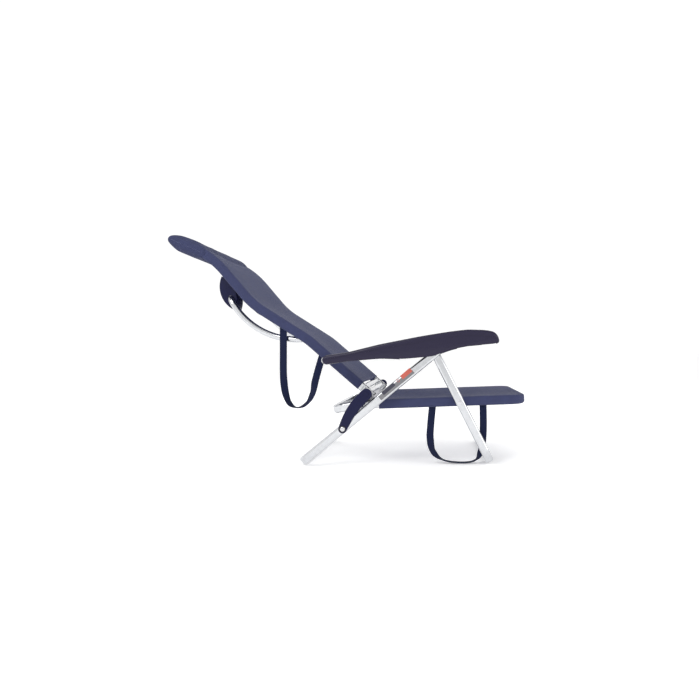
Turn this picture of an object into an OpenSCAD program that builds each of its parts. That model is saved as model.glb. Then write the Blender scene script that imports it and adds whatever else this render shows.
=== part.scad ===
// Low folding beach chair: oval aluminium tube, fabric seat and back, plastic armrests with a notched rack.
// Origin: on the ground under the middle of the chair. +X is the way the sitter faces, +Z is up.

/* [Frame tube] */
// Long side of the oval tube, seen from the chair's side
tube_h = 30; // [26:1:32]
// Short side of the oval tube, across the chair
tube_w = 15; // [13:1:15]
// Wall of every tube
wall = 1.5; // [1.2:0.1:2]
// Radius of the corner bends, to the middle of the tube
corner_r = 45; // [40:1:60]

/* [Seat] */
// Length of the straight seat rails, from the rear bend to the front bar
seat_len = 566; // [540:1:570]
// Height of the seat rails at the rear bend
seat_z = 208.4; // [204:0.2:212]
// Rise of the seat towards the front, in degrees
seat_slope = 1.94; // [1:0.02:2.4]
// Half width of the seat frame, to the middle of its rails
seat_y = 222.5; // [222.5:0.5:223]

/* [Back] */
// Rail slope at the hinge, in degrees above horizontal
back_slope = 41; // [40:0.5:43]
// Straight stretch from the hinge to the loin bend
back_low = 261; // [250:1:270]
// Straight stretch between the loin bend and the shoulder bend
back_mid = 160; // [150:1:170]
// Straight stretch between the shoulder bend and the head bend
back_high = 108; // [100:1:120]
// Half width of the back frame, to the middle of its rails
back_y = 203.5; // [203:0.5:203.5]

/* [Legs] */
// Height of the pivot where the front and rear legs meet
top_z = 387; // [380:1:390]
// Half width of the front leg frame
front_leg_y = 240.5; // [240:0.5:241]
// Half width of the rear leg frame
rear_leg_y = 258.5; // [258:0.5:259]

/* [Armrest] */
// Width of an armrest
arm_w = 48; // [44:1:50]
// Notches in an armrest's rack
notches = 7; // [5:1:8]

/* [Carry straps] */
// Width of the webbing
web_w = 25; // [20:1:30]
// Thickness of the webbing
web_t = 1.6; // [1.2:0.1:2]

/* [Hidden] */
$fn = 48;

// Pivots, as [x, z] in the side view
leg_top = [308, top_z];
front_foot = [499, 11];
rear_foot = [-148, 13.3];
leg_pivot = leg_top + (front_foot - leg_top) * 0.4476;
link_pivot = leg_top + (rear_foot - leg_top) * 0.684;
hinge = [76, 249];

// Side faces, as distances from the middle of the chair
half_w = tube_w / 2;
back_out = back_y + half_w;
back_in = back_y - half_w;
seat_in = seat_y - half_w;
seat_out = seat_y + half_w;
front_in = front_leg_y - half_w;
front_out = front_leg_y + half_w;
rear_in = rear_leg_y - half_w;
rear_out = rear_leg_y + half_w;
plate_t = 3;
link_in = rear_out + 2.5;
link_t = 8;
arm_in = rear_out + 4;
arm_out = arm_in + arm_w;

// Small hardware
pin_r = 4;
arm_pin_r = 5;
running = 0.05;
gap = 0.3;
fabric_t = 1.5;
// Bends are whole multiples of one angle whose sine and cosine are short decimals
bend_unit = acos(0.99712);
loin_bend = 2;
shoulder_bend = -4;
head_bend = 7;
sleeve_bend = 4;
loin_r = 310;
shoulder_r = 288;
head_r = 319;
collar_from = 18;
sling_from = 38;

// A path is a list of [straight length, bend in units, bend radius]
function back_path(from, last_bend) = [[back_low - from, loin_bend, loin_r],
    [back_mid, shoulder_bend, shoulder_r], [back_high, last_bend, head_r]];
seat_bend_units = 2;
seat_dip = seat_bend_units * bend_unit;
seat_dip_r = 150;
dip_half = seat_dip_r * tan(seat_dip / 2);
rear_len = 96.8;
seat_bend = [50, seat_z];
seat_rear = seat_bend - rear_len * [cos(seat_slope + seat_dip), sin(seat_slope + seat_dip)];
seat_path = [[rear_len - dip_half - corner_r, -seat_bend_units, seat_dip_r],
    [seat_len - dip_half - corner_r, 0, 1]];

function turn(a) = [cos(a), sin(a)];
function arc_step(a, b, r) = b == 0 ? [0, 0] :
    sign(b) * r * [sin(a + b) - sin(a), cos(a) - cos(a + b)];
function heading(path, i) = i == 0 ? 0 : heading(path, i - 1) + path[i - 1][1] * bend_unit;
function spot(path, i) = i == 0 ? [0, 0] : spot(path, i - 1)
    + path[i - 1][0] * turn(heading(path, i - 1))
    + arc_step(heading(path, i - 1), path[i - 1][1] * bend_unit, path[i - 1][2]);
function along(p, a, d) = p + d * turn(a);
function slope(p, q) = atan2(q[1] - p[1], q[0] - p[0]);
function mix(a, b, t) = a + (b - a) * t;

// Puts the children's +X on a line in the side view
module aim(p, a) { translate([p[0], 0, p[1]]) rotate([0, -a, 0]) children(); }
// The same shape on both sides of the chair
module both() { children(); mirror([0, 1, 0]) children(); }
// A round bar across the chair on the right-hand side, from one distance to another
module cross_rod(p, r, from, to) {
    translate([p[0], -from, p[1]]) rotate([90, 0, 0]) cylinder(r = r, h = to - from);
}
module oval(h, w) {
    union() {
        square([w, h - w], center = true);
        translate([0, (h - w) / 2]) circle(d = w);
        translate([0, -(h - w) / 2]) circle(d = w);
    }
}
module ring(h, w) {
    difference() {
        oval(h, w);
        oval(h - 2 * wall, w - 2 * wall);
    }
}
// Fabric round both rails and across between them: side 1 crosses above the path, -1 below it
module sling_section(half, side) {
    difference() {
        union() {
            for (k = [-1, 1]) translate([k * half, 0]) oval(tube_h + 2 * fabric_t, tube_w + 2 * fabric_t);
            translate([0, side * (tube_h + fabric_t + gap) / 2]) square([2 * half, fabric_t - gap], center = true);
        }
        for (k = [-1, 1]) translate([k * half, 0]) oval(tube_h + 2 * gap, tube_w + 2 * gap);
    }
}
// Points on an arc, for the round ends of an outline
function arc(c, r, from, to, n = 12) = [for (i = [0:n]) c + r * turn(mix(from, to, i / n))];
// Children are a flat section: X across the chair, Y square to the path
module straight(len) { rotate([90, 0, 90]) linear_extrude(len) children(); }
module bend(a, r) {
    if (a > 0)
        translate([0, 0, r]) multmatrix([[0, 1, 0, 0], [0, 0, -1, 0], [-1, 0, 0, 0], [0, 0, 0, 1]])
            rotate_extrude(angle = a, $fn = 240) translate([r, 0]) mirror([1, 1]) children();
    if (a < 0)
        translate([0, 0, -r]) multmatrix([[0, 1, 0, 0], [0, 0, 1, 0], [1, 0, 0, 0], [0, 0, 0, 1]])
            rotate_extrude(angle = -a, $fn = 240) translate([r, 0]) mirror([1, -1]) children();
}
module after_bend(n) {
    if (n == 0) children();
    else rotate([0, -sign(n) * bend_unit, 0]) after_bend(n - sign(n)) children();
}
// The first child is swept along the path, and the second stands at its end
module sweep(path, i = 0) {
    if (i == len(path)) children(1);
    else {
        r = sign(path[i][1]) * path[i][2];
        straight(path[i][0]) children(0);
        translate([path[i][0], 0, 0]) {
            bend(path[i][1] * bend_unit, path[i][2]) children(0);
            translate([0, 0, r]) after_bend(path[i][1]) translate([0, 0, -r]) sweep(path, i + 1) {
                children(0);
                children(1);
            }
        }
    }
}
// A quarter bend across the chair and half of the bar that follows it
module end_bar(half) {
    translate([0, corner_r, 0]) rotate([0, 0, -90]) rotate_extrude(angle = 90, $fn = 96)
        translate([corner_r, 0]) children();
    translate([corner_r, corner_r, 0]) rotate([90, 0, 180]) linear_extrude(half - corner_r) children();
}
// One side of a U frame, ending at the middle of its bar
module u_side(path, half, lead) {
    translate([-lead, -half, 0]) straight(lead) children();
    translate([0, -half, 0]) sweep(path) {
        children();
        end_bar(half) children();
    }
}
module u_tube(path, half, lead) { both() u_side(path, half, lead) ring(tube_h, tube_w); }
module plug(half, h, w) {
    straight(3) translate([half, 0]) oval(h, w);
    translate([-12, 0, 0]) straight(12) translate([half, 0]) oval(h - 2 * wall - gap, w - 2 * wall - gap);
}

/* Seat */
module seat_side() {
    aim(seat_rear, seat_slope + seat_dip) translate([corner_r, -seat_y, 0]) {
        sweep(seat_path) {
            children();
            end_bar(seat_y) children();
        }
        mirror([1, 0, 0]) end_bar(seat_y) children();
    }
}
module seat_frame() {
    color("silver") difference() {
        both() seat_side() ring(tube_h, tube_w);
        both() cross_rod(leg_pivot, pin_r, seat_in - 1, seat_out + 1);
    }
}
seat_sling_from = 64;
roll_half = seat_y - corner_r;
module seat_sling() {
    color([0.27, 0.27, 0.41]) difference() {
        aim(seat_bend, seat_slope) union() {
            translate([seat_sling_from, 0, 0]) straight(seat_len - seat_sling_from - corner_r)
                sling_section(seat_y, 1);
            translate([seat_len - corner_r - 1, -roll_half, tube_h / 2 + gap])
                cube([corner_r + 1, 2 * roll_half, fabric_t - gap]);
            translate([seat_len, roll_half, 0]) rotate([90, 0, 0]) linear_extrude(2 * roll_half)
                difference() {
                    oval(tube_h + 2 * fabric_t, tube_w + 2 * fabric_t);
                    oval(tube_h + 2 * gap, tube_w + 2 * gap);
                }
        }
        both() cross_rod(leg_pivot, 9, seat_in - 3, seat_out + 3);
    }
}
bracket_feet = [[58, 207], [98, 210]];
module hinge_bracket() {
    translate([0, -(seat_in - plate_t), 0]) rotate([90, 0, 0]) linear_extrude(plate_t) difference() {
        union() {
            translate(hinge) circle(r = 15);
            polygon([[46, 198], [112, 200], [110, 219], [hinge[0] + 14.2, hinge[1] - 5],
                [hinge[0] - 14.2, hinge[1] - 5], [48, 216]]);
        }
        translate(hinge) circle(r = pin_r);
        for (p = bracket_feet) translate(p) circle(r = 2.5);
    }
}
module hinge_bracket_right() { color("gray") hinge_bracket(); }
module hinge_bracket_left() { color("gray") mirror([0, 1, 0]) hinge_bracket(); }
module bracket_rivets() {
    color("silver") both() for (p = bracket_feet) {
        cross_rod(p, 2.5, seat_in - plate_t, seat_in);
        cross_rod(p, 4.5, seat_in - plate_t - 0.8, seat_in - plate_t);
    }
}
module hinge_pins() {
    color("silver") both() {
        cross_rod(hinge, pin_r, back_in - 14, link_in + link_t + 0.4);
        cross_rod(hinge, 7, link_in + link_t + 0.4, link_in + link_t + 2.4);
    }
}
module hinge_spacers() {
    color("dimgray") both() difference() {
        cross_rod(hinge, 7, seat_in + gap, link_in - gap);
        cross_rod(hinge, pin_r + gap, seat_in, link_in);
    }
}
module leg_rivets() {
    color("silver") both() {
        cross_rod(leg_pivot, pin_r, seat_in + 2, front_out + 0.2);
        cross_rod(leg_pivot, 7.5, front_out + 0.2, front_out + 2);
    }
}
module leg_washers() {
    color("dimgray") both() difference() {
        cross_rod(leg_pivot, 8.5, seat_out + gap, front_in - gap);
        cross_rod(leg_pivot, pin_r + gap, seat_out, front_in);
    }
}

/* Legs */
front_dir = slope(leg_top, front_foot);
rear_dir = slope(leg_top, rear_foot);
front_len = norm(front_foot - leg_top);
rear_len_all = norm(rear_foot - leg_top);
leg_lead = 17;
module front_leg_frame() {
    color("silver") difference() {
        aim(leg_top, front_dir) u_tube([[front_len - corner_r, 0, 1]], front_leg_y, leg_lead);
        both() cross_rod(leg_top, arm_pin_r, front_in - 1, front_out + 1);
        both() cross_rod(leg_pivot, pin_r + running, front_in - 1, front_out + 1);
    }
}
module front_leg_plugs() {
    color("black") both() aim(along(leg_top, front_dir, -leg_lead), front_dir) mirror([1, 0, 0])
        difference() {
            plug(-front_leg_y, tube_h, tube_w);
            translate([-leg_lead, -front_leg_y, 0]) rotate([90, 0, 0])
                cylinder(r = arm_pin_r + 1, h = 2 * tube_w, center = true);
        }
}
module rear_leg_frame() {
    color("silver") difference() {
        aim(leg_top, rear_dir) u_tube([[rear_len_all - corner_r, 0, 1]], rear_leg_y, leg_lead);
        both() cross_rod(leg_top, arm_pin_r + running, rear_in - 1, rear_out + 1);
    }
}
module rear_leg_plugs() {
    color("black") both() aim(along(leg_top, rear_dir, -leg_lead), rear_dir) mirror([1, 0, 0])
        difference() {
            plug(-rear_leg_y, tube_h, tube_w);
            translate([-leg_lead, -rear_leg_y, 0]) rotate([90, 0, 0])
                cylinder(r = arm_pin_r + 1, h = 2 * tube_w, center = true);
        }
}
module leg_top_pins() {
    color("silver") both() {
        cross_rod(leg_top, arm_pin_r, front_in - 0.4, arm_out - 9);
        cross_rod(leg_top, 8, front_in - 1.6, front_in - 0.4);
    }
}
module leg_top_washers() {
    color("black") both() difference() {
        cross_rod(leg_top, 11, front_out + gap, rear_in - gap);
        cross_rod(leg_top, arm_pin_r + gap, front_out, rear_in);
    }
}
roller_r = 7.5;
module rack_rollers() {
    color("black") both() difference() {
        cross_rod(leg_top, roller_r, rear_out + gap, arm_out - 8);
        cross_rod(leg_top, arm_pin_r, rear_out, arm_out - 9);
    }
}
module leg_label() {
    color("lightgray") aim(along(leg_top, rear_dir, 96), rear_dir)
        translate([0, -rear_out - 0.4, 0]) rotate([90, 0, 0]) linear_extrude(0.3)
        translate([0, -8]) square([146, 16]);
}

/* Links from the rear legs to the hinge */
link_bulge = 9;
link_steps = 18;
function link_mid(t) = mix(link_pivot, hinge, t)
    + 4 * link_bulge * t * (1 - t) * turn(slope(link_pivot, hinge) + 90);
function link_half(t) = mix(14.5, 19, t) + 6 * t * (1 - t);
function link_side(t) = turn(slope(link_mid(t - 0.01), link_mid(t + 0.01)) + 90);
module link() {
    tip = slope(link_mid(0), link_mid(0.02));
    head = slope(link_mid(0.98), link_mid(1));
    translate([0, -link_in, 0]) rotate([90, 0, 0]) linear_extrude(link_t) difference() {
        polygon(concat(arc(link_pivot, link_half(0), tip + 270, tip + 90),
            [for (i = [1:link_steps - 1]) let (t = i / link_steps) link_mid(t) + link_half(t) * link_side(t)],
            arc(hinge, link_half(1), head + 90, head - 90),
            [for (i = [link_steps - 1:-1:1]) let (t = i / link_steps) link_mid(t) - link_half(t) * link_side(t)]));
        translate(hinge) circle(r = pin_r + running);
    }
}
module link_right() { color([0.18, 0.2, 0.32]) link(); }
module link_left() { color([0.18, 0.2, 0.32]) mirror([0, 1, 0]) link(); }
module link_rivets() {
    color("silver") both() cross_rod(link_pivot, 8, link_in + link_t, link_in + link_t + 2);
}

/* Back */
back_dir = 180 - back_slope;
module on_back() { aim(hinge, back_dir) children(); }
back_last = spot(back_path(0, head_bend), 3);
back_turn = heading(back_path(0, head_bend), 3);
arm_along = 175.7;
arm_pivot = along(hinge, back_dir, arm_along);
prop_along = 290;
prop_arc_a = back_dir + (prop_along - back_low) / loin_r * 180 / PI;
prop_pivot = along(hinge, back_dir, back_low) + loin_r
    * [sin(prop_arc_a) - sin(back_dir), cos(back_dir) - cos(prop_arc_a)];
back_lead = 18;
module back_frame() {
    color("silver") difference() {
        on_back() u_tube(back_path(0, head_bend), back_y, back_lead);
        both() cross_rod(hinge, pin_r + running, back_in - 1, back_out + 1);
        both() cross_rod(arm_pivot, arm_pin_r, back_in - 1, back_out + 1);
        both() cross_rod(prop_pivot, 3, back_in - 1, back_out + 1);
    }
}
module back_plugs() {
    color("black") both() on_back() translate([-back_lead, 0, 0]) mirror([1, 0, 0])
        intersection() {
            plug(-back_y, tube_h, tube_w);
            translate([-11, -back_out, -tube_h / 2]) cube([14, tube_w, tube_h]);
        }
}
bar_along = 26;
bar_r = 11;
module back_lower_bar() {
    p = along(hinge, back_dir, bar_along);
    color("silver") difference() {
        both() cross_rod(p, bar_r, 0, back_in);
        both() cross_rod(p, bar_r - wall, -1, back_in + 1);
    }
}
module hinge_tube() {
    color("silver") difference() {
        both() cross_rod(hinge, bar_r, 0, back_in - 1);
        both() cross_rod(hinge, bar_r - wall, -1, back_in);
    }
}
module hinge_tube_plugs() {
    color("black") both() difference() {
        union() {
            cross_rod(hinge, bar_r - wall, back_in - 16, back_in - 1);
            cross_rod(hinge, bar_r, back_in - 1, back_in - gap);
        }
        cross_rod(hinge, pin_r + running, back_in - 17, back_in + 1);
    }
}
module back_collars() {
    color("silver") both() difference() {
        on_back() for (i = [0, 1]) translate([collar_from + 8 * i, -back_y, 0]) difference() {
            straight(5) oval(tube_h + 1.2, tube_w + 1.2);
            translate([-1, 0, 0]) straight(7) oval(tube_h, tube_w);
        }
        cross_rod(along(hinge, back_dir, bar_along), bar_r + running, back_in - tube_w, back_in + running);
    }
}
module back_sling() {
    color([0.27, 0.27, 0.41]) difference() {
        on_back() translate([sling_from, 0, 0]) sweep(back_path(sling_from, sleeve_bend)) {
            sling_section(back_y, -1);
            union() {}
        }
        both() cross_rod(arm_pivot, 9, back_in - 3, back_out + 3);
        both() cross_rod(prop_pivot, 8, back_in - 3, back_out + 3);
    }
}
pad_t = 48;
pad_gap = 2;
pad_half = back_y + 10;
pad_from = spot(back_path(0, sleeve_bend), 3);
top_bar = along(back_last, back_turn, corner_r);
pad_past_bar = 15;
pad_len = norm(top_bar - pad_from) + pad_past_bar;
// How far each bent rail leaves the straight channel that it runs in, and the channel's extra length
rail_bow = 2.5;
rail_lap = 4;
// A long cushion over the top of the frame: the rails and the top bar run inside it
module head_pad() {
    color([0.25, 0.25, 0.4]) on_back() difference() {
        aim(pad_from, slope(pad_from, top_bar)) translate([pad_gap + pad_len / 2, pad_half, 0])
            rotate([90, 0, 0]) linear_extrude(2 * pad_half) rotate([0, 0, 90]) oval(pad_len, pad_t);
        both() aim(pad_from, slope(pad_from, back_last)) translate([-rail_lap, -back_y, 0])
            straight(norm(back_last - pad_from) + 2 * rail_lap)
            oval(tube_h + 2 * (gap + rail_bow), tube_w + 2 * gap);
        both() aim(back_last, back_turn) translate([0, -back_y, 0])
            end_bar(back_y) oval(tube_h + 2 * gap, tube_w + 2 * gap);
    }
}

/* Armrests */
module arm_pins() {
    color("silver") both() {
        cross_rod(arm_pivot, arm_pin_r, back_in - 1.2, arm_in + 34);
        cross_rod(arm_pivot, 8, back_in - 2.4, back_in - 1.2);
    }
}
module arm_spacers() {
    color("dimgray") both() difference() {
        cross_rod(arm_pivot, 8, back_out + gap, arm_in - gap);
        cross_rod(arm_pivot, arm_pin_r + gap, back_out, arm_in);
    }
}
bush_r = 12;
module arm_bushes() {
    color("silver") both() difference() {
        cross_rod(arm_pivot, bush_r - running, arm_in + 0.2, arm_in + 35.8);
        cross_rod(arm_pivot, arm_pin_r + running, arm_in, arm_in + 34.2);
    }
}
// Side outline of an armrest: top edge from rear to front, then bottom edge from front to rear
arm_top = [[18, 391], [126, 418], [258, 444], [350, 459], [415, 467], [482, 465], [513, 456]];
arm_low = [[525, 419], [480, 415], [424, 410], [364, 398], [300, 375], [202, 366], [182, 367],
    [126, 369], [16, 360]];
arm_skin = 3.5;
// The rack follows the line from the armrest's rear pivot to the leg pivot
rack_dir = slope(arm_pivot, leg_top);
rack_reach = norm(leg_top - arm_pivot);
notch_pitch = 15.9;
rack_rear = rack_reach - (notches - 1) * notch_pitch - 16;
rack_front = rack_reach + 14;
rack_lift = roller_r + 0.5;
rack_h = 16;
module arm_outline() { polygon(concat(arc([-50, 365], 16, 268, 92), arm_top, arm_low)); }
module armrest() {
    difference() {
        translate([0, -arm_in, 0]) rotate([90, 0, 0]) linear_extrude(arm_w) arm_outline();
        // rack channel, open underneath and towards the legs
        aim(arm_pivot, rack_dir) translate([rack_rear - 8, -arm_out + arm_skin + 2, -60])
            cube([rack_front - rack_rear + 20, arm_w, 60 + rack_lift + rack_h]);
        // hollow nose, open underneath
        translate([0, -arm_in - arm_skin, 0]) rotate([90, 0, 0]) linear_extrude(arm_w - 2 * arm_skin)
            polygon([[380, 380], [380, 455], [415, 461], [480, 459], [509, 450], [517, 428], [517, 380]]);
        cross_rod(arm_pivot, bush_r, arm_in - 1, arm_in + 36);
    }
}
module rack() {
    aim(arm_pivot, rack_dir) difference() {
        translate([rack_rear, -arm_out + arm_skin + 3, rack_lift])
            cube([rack_front - rack_rear, arm_w - 14, rack_h]);
        for (i = [0:notches - 1]) translate([rack_reach - i * notch_pitch, -arm_in + 20, rack_lift - 4.5])
            rotate([90, 0, 0]) cylinder(r = 8, h = 90);
    }
}
module armrest_right() { color([0.2, 0.18, 0.26]) armrest(); }
module armrest_left() { color([0.2, 0.18, 0.26]) mirror([0, 1, 0]) armrest(); }
module rack_right() { color("black") rack(); }
module rack_left() { color("black") mirror([0, 1, 0]) rack(); }

/* Prop bow behind the back */
prop_r = 11;
prop_y = back_in - 3 - prop_r;
prop_path = [[1, -15, 263]];
prop_dir = 188.4;
prop_lead = 10;
prop_end = spot(prop_path, 1);
module prop_tube() {
    color("silver") difference() {
        aim(prop_pivot, prop_dir) both() u_side(prop_path, prop_y, prop_lead) difference() {
            circle(r = prop_r);
            circle(r = prop_r - wall);
        }
        both() cross_rod(prop_pivot, 3 + running, prop_y - 20, back_in);
    }
}
foot_l = 130;
foot_t = 52;
foot_from = 110;
foot_to = 170;
foot_tilt = 12;
foot_up = 9;
foot_r = (foot_l * foot_l / 4 + foot_t * foot_t / 4) / foot_t;
// Two rounded feet on the bow's bar, one near each of its corners
module prop_foot() {
    color([0.14, 0.16, 0.3]) aim(prop_pivot, prop_dir) aim(prop_end, heading(prop_path, 1))
        both() difference() {
            translate([corner_r, -foot_from, 0]) rotate([90, foot_tilt, 0]) translate([foot_up, 0, 0])
                intersection() {
                    translate([0, foot_r - foot_t / 2, 0]) cylinder(r = foot_r, h = foot_to - foot_from, $fn = 96);
                    translate([0, foot_t / 2 - foot_r, 0]) cylinder(r = foot_r, h = foot_to - foot_from, $fn = 96);
                }
            translate([0, -prop_y, 0]) end_bar(prop_y) circle(r = prop_r + gap);
        }
}
module prop_rivets() {
    color("silver") both() {
        cross_rod(prop_pivot, 3, prop_y - prop_r - 0.4, back_out + 0.2);
        cross_rod(prop_pivot, 6, prop_y - prop_r - 1.8, prop_y - prop_r - 0.4);
    }
}
module prop_washers() {
    color("black") both() difference() {
        cross_rod(prop_pivot, 7, prop_y + prop_r + gap, back_in - gap);
        cross_rod(prop_pivot, 3 + gap, prop_y, back_in);
    }
}
/* Carry straps */
// Each stop on a strap's route is [x, z, twist]: twist 0 faces sideways, 90 lies flat across the chair
seat_loop = [[299, 199, 0], [293, 140, 0], [291, 90, 0], [302, 42, 45], [340, 12, 90], [405, 4, 90],
    [448, 12, 90], [466, 40, 45], [474, 90, 0], [476, 140, 0], [475, 205, 0]];
back_loop = [[-224, 484, 0], [-224, 390, 0], [-224, 320, 0], [-221, 262, 30], [-208, 214, 60],
    [-182, 195, 90], [-148, 207, 60], [-124, 242, 30], [-112, 290, 0], [-100, 335, 0], [-84, 388, 0]];
seat_strap_y = 217;
back_strap_y = 203.5;
loop_steps = 3;
function curve(a, b, c, d, t) = 0.5 * (2 * b + (c - a) * t + (2 * a - 5 * b + 4 * c - d) * t * t
    + (3 * b - a - 3 * c + d) * t * t * t);
function loop_at(l, u) = let (i = min(floor(u), len(l) - 2), t = u - i)
    curve(l[max(i - 1, 0)], l[i], l[i + 1], l[min(i + 2, len(l) - 1)], t);
function twist_at(l, u) = let (i = min(floor(u), len(l) - 2)) mix(l[i][2], l[i + 1][2], u - i);
// The webbing twists about its outer edge
function web_ring(l, u, y) = let (
    c = loop_at(l, u),
    twist = twist_at(l, u),
    a = slope(loop_at(l, max(u - 0.05, 0)), loop_at(l, min(u + 0.05, len(l) - 1))),
    n = [-sin(a), 0, cos(a)],
    across = cos(twist) * n + [0, sin(twist), 0],
    thick = -sin(twist) * n + [0, cos(twist), 0])
    [for (k = [[-1, -1], [1, -1], [1, 1], [-1, 1]])
        [c[0], web_w / 2 * sin(twist) - y, c[1]] + across * web_w / 2 * k[0] + thick * web_t / 2 * k[1]];
module web(l, y) {
    n = (len(l) - 1) * loop_steps;
    rings = [for (i = [0:n]) each web_ring(l, i / loop_steps, y)];
    polyhedron(rings, concat([[3, 2, 1, 0]], [for (i = [0:n - 1], k = [0:3])
        each let (a = 4 * i + k, b = 4 * i + (k + 1) % 4) [[a, b, b + 4], [a, b + 4, a + 4]]],
        [[4 * n, 4 * n + 1, 4 * n + 2, 4 * n + 3]]));
}
module seat_strap() { color([0.1, 0.12, 0.25]) web(seat_loop, seat_strap_y); }
// Both ends stop against the sleeve under the rail
module back_strap() {
    color([0.1, 0.12, 0.25]) difference() {
        web(back_loop, back_strap_y);
        on_back() for (i = [0, 1]) aim(spot(back_path(0, head_bend), i), heading(back_path(0, head_bend), i))
            translate([i == 0 ? back_low / 2 : 20, -back_y - web_w, -tube_h / 2 - fabric_t - gap])
            cube([110, 2 * web_w, 2 * tube_h]);
    }
}

seat_frame();
seat_sling();
seat_strap();
hinge_bracket_right();
hinge_bracket_left();
bracket_rivets();
hinge_pins();
hinge_spacers();
leg_rivets();
leg_washers();
front_leg_frame();
front_leg_plugs();
leg_top_pins();
leg_top_washers();
rack_rollers();
rear_leg_frame();
rear_leg_plugs();
leg_label();
link_right();
link_left();
link_rivets();
hinge_tube();
hinge_tube_plugs();
back_frame();
back_lower_bar();
back_collars();
back_plugs();
back_sling();
head_pad();
back_strap();
arm_pins();
arm_spacers();
arm_bushes();
armrest_right();
armrest_left();
rack_right();
rack_left();
prop_tube();
prop_foot();
prop_rivets();
prop_washers();
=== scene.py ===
import math

import bmesh
import bpy
import numpy as np
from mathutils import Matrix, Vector, noise


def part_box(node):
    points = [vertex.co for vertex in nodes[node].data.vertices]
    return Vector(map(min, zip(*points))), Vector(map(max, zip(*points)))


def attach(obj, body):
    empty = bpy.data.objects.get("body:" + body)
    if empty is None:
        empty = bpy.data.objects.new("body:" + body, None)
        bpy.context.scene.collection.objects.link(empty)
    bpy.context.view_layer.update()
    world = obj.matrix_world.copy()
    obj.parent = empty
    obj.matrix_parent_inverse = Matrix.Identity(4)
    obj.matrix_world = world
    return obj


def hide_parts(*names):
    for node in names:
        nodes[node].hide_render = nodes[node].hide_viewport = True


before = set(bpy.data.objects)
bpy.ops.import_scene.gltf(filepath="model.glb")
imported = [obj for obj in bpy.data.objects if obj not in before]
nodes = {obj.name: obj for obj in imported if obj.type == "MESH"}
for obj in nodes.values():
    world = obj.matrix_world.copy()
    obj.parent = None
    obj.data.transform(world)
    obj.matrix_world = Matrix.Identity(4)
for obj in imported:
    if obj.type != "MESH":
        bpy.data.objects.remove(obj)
bpy.context.view_layer.update()

# ---- Sizes, in metres, and angles in degrees ----
TUBE_H = 0.030  # long side of the oval tube
TUBE_W = 0.015
SEAT_Y = 0.2225  # half widths, to the middle of the rails
BACK_Y = 0.2035
CORNER_R = 0.045
BEND_UNIT = math.degrees(math.acos(0.99712))
SEAT_SLOPE = 1.94
SEAT_BEND = (0.050, 0.2084)  # side-view places are (x, z)
SEAT_LEN = 0.566
SEAT_FROM = 0.064  # where the sleeve starts along the rail
SEAT_STRAIGHT = SEAT_LEN - CORNER_R
HINGE = (0.076, 0.249)
BACK_DIR = 139.0
BACK_FROM = 0.038
# Bends of the back as (straight before it, bend in BEND_UNITs, radius); the cloth stops short of the bar
SHOULDER = (0.160, -4, 0.288)
BACK_BENDS = [(0.261 - BACK_FROM, 2, 0.310), SHOULDER, (0.108, 4, 0.319)]
HEAD_BENDS = [(0.261, 2, 0.310), SHOULDER, (0.108, 7, 0.319)]
CLOTH_T = 0.0010
CLOTH_OUT = 0.0011  # from the tube's face to the middle of the cloth's thickness
CROWN = TUBE_H / 2 + CLOTH_OUT  # from the rail's middle to the cloth over it
STITCH_OUT = CROWN + CLOTH_T / 2
SEAM_IN = 0.012  # from the sleeve to its row of stitches
SEAT_SAG = 0.012
BACK_SAG = 0.009
RIPPLE_SIZE = 0.05
RIPPLE_STRETCH = 0.5  # ripples are drawn out across the chair
RIPPLE_HOLD = 6  # a higher power keeps the ripples up nearer to the rails
BACK_RIPPLE = 0.0009

# ---- Colours ----
CLOTH_BLUE = (0.038, 0.044, 0.104)
THREAD_BLUE = (0.20, 0.22, 0.34)
WEB_BLUE = (0.005, 0.009, 0.038)
ARM_BLUE = (0.012, 0.009, 0.031)
NAVY = (0.005, 0.006, 0.036)
BLACK = (0.010, 0.010, 0.012)
SILVER = (0.60, 0.61, 0.63)
STEEL = (0.62, 0.62, 0.64)


# ---- Materials ----
def add_node(tree, kind, **values):
    node = tree.nodes.new(kind)
    for key, value in values.items():
        if key in node.inputs:
            node.inputs[key].default_value = value
        else:
            setattr(node, key, value)
    return node


def shade(colour, factor):
    """A lighter or darker RGBA colour."""
    return (*[min(1.0, c * factor) for c in colour], 1.0)


def surface(name, colour, roughness, grain, spread=0.08, bump=0.05, **sockets):
    """A Principled material whose colour, gloss and relief vary with noise in the piece's own space."""
    material = bpy.data.materials.new(name)
    material.use_nodes = True
    tree = material.node_tree
    shader = tree.nodes["Principled BSDF"]
    for key, value in sockets.items():
        shader.inputs[key.replace("_", " ")].default_value = value
    place = add_node(tree, "ShaderNodeTexCoord")
    speckle = add_node(tree, "ShaderNodeTexNoise", Scale=grain, Detail=4.0)
    tint = add_node(tree, "ShaderNodeValToRGB")
    tint.color_ramp.elements[0].position = 0.3
    tint.color_ramp.elements[1].position = 0.7
    tint.color_ramp.elements[0].color = shade(colour, 1 - spread)
    tint.color_ramp.elements[1].color = shade(colour, 1 + spread)
    gloss = add_node(tree, "ShaderNodeMapRange")
    gloss.inputs["To Min"].default_value = roughness * 0.85
    gloss.inputs["To Max"].default_value = min(1.0, roughness * 1.15)
    relief = add_node(tree, "ShaderNodeBump", Strength=bump, Distance=0.001)
    link = tree.links.new
    link(place.outputs["Object"], speckle.inputs["Vector"])
    link(speckle.outputs["Fac"], tint.inputs["Fac"])
    link(speckle.outputs["Fac"], gloss.inputs["Value"])
    link(speckle.outputs["Fac"], relief.inputs["Height"])
    link(tint.outputs["Color"], shader.inputs["Base Color"])
    link(gloss.outputs["Result"], shader.inputs["Roughness"])
    link(relief.outputs["Normal"], shader.inputs["Normal"])
    return material


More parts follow.
